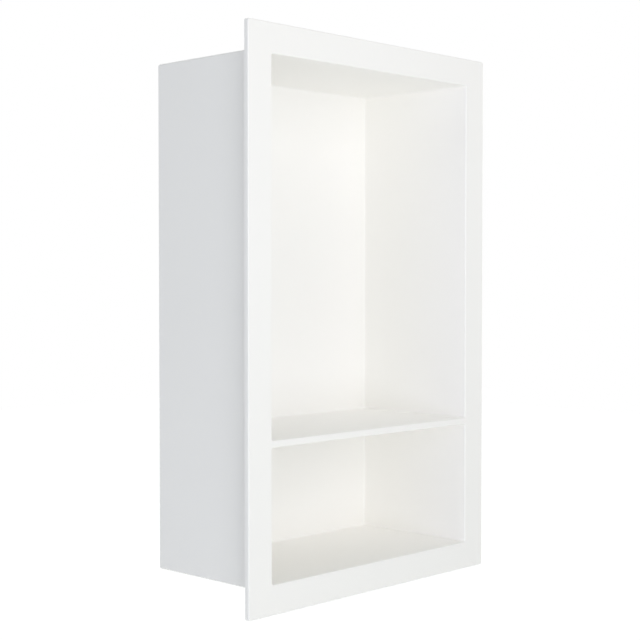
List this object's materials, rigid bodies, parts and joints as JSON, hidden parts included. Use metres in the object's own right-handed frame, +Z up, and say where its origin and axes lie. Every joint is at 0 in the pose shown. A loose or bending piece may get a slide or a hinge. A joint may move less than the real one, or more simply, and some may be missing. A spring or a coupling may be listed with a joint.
{
  "type": "shower niche insert",
  "caption": "Recessed wall niche moulded in one piece: an open box with a flat flange round its mouth and a fixed shelf inside, for bottles and soap in a shower.",
  "frame": {"origin": "centre of the flange's back face, in the plane of the finished wall", "axes": "+X right as seen from the room, +Y into the wall, +Z up"},
  "size_m": [0.2286, 0.1, 0.3556],
  "materials": {
    "white_plastic": "satin"
  },
  "bodies": {
    "root": {"niche_insert": "white_plastic"}
  },
  "joints": []
}
